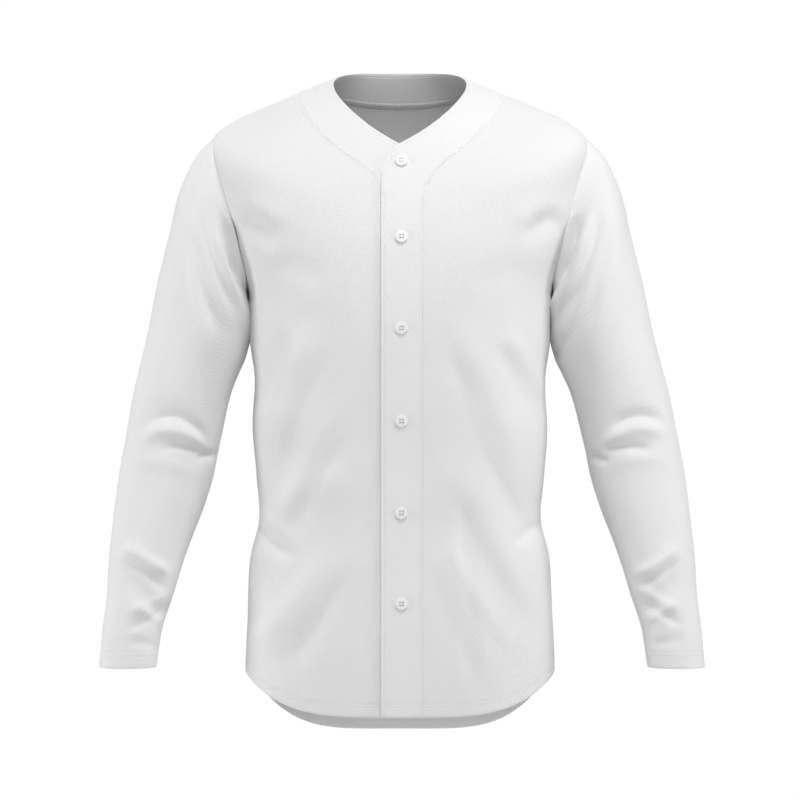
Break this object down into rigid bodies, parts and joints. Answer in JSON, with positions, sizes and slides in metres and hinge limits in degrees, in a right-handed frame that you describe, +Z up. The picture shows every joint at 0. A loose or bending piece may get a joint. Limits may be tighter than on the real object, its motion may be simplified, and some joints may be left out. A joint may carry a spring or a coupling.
{
  "type": "baseball jersey",
  "caption": "Plain white long-sleeved baseball jersey with a full button front, V neck band and shirt-tail hem, in its worn hollow shape.",
  "frame": {"origin": "midway between the two high points of the shoulders, where the neck band meets the wearer's neck", "axes": "+Z up along the wearer, +X to the wearer's left, the button front faces -Y"},
  "size_m": [0.6995, 0.259, 0.7832],
  "materials": {
    "cloth": "matte knit with a fine diagonal rib and a faint sheen",
    "sleeve_cloth": "matte knit with a fine diagonal rib and a faint sheen",
    "band_cloth": "the same matte knit, doubled and pressed",
    "tape": "matte woven tape",
    "button": "white moulded plastic, softly polished"
  },
  "bodies": {
    "root": {"front_left": "cloth", "front_right": "cloth", "back": "cloth", "sleeve_left": "sleeve_cloth", "sleeve_right": "sleeve_cloth", "band_left": "band_cloth", "band_right": "band_cloth", "band_back": "band_cloth", "neck_tape": "tape", "button_1": "button", "button_2": "button", "button_3": "button", "button_4": "button", "button_5": "button", "button_6": "button"}
  },
  "joints": []
}
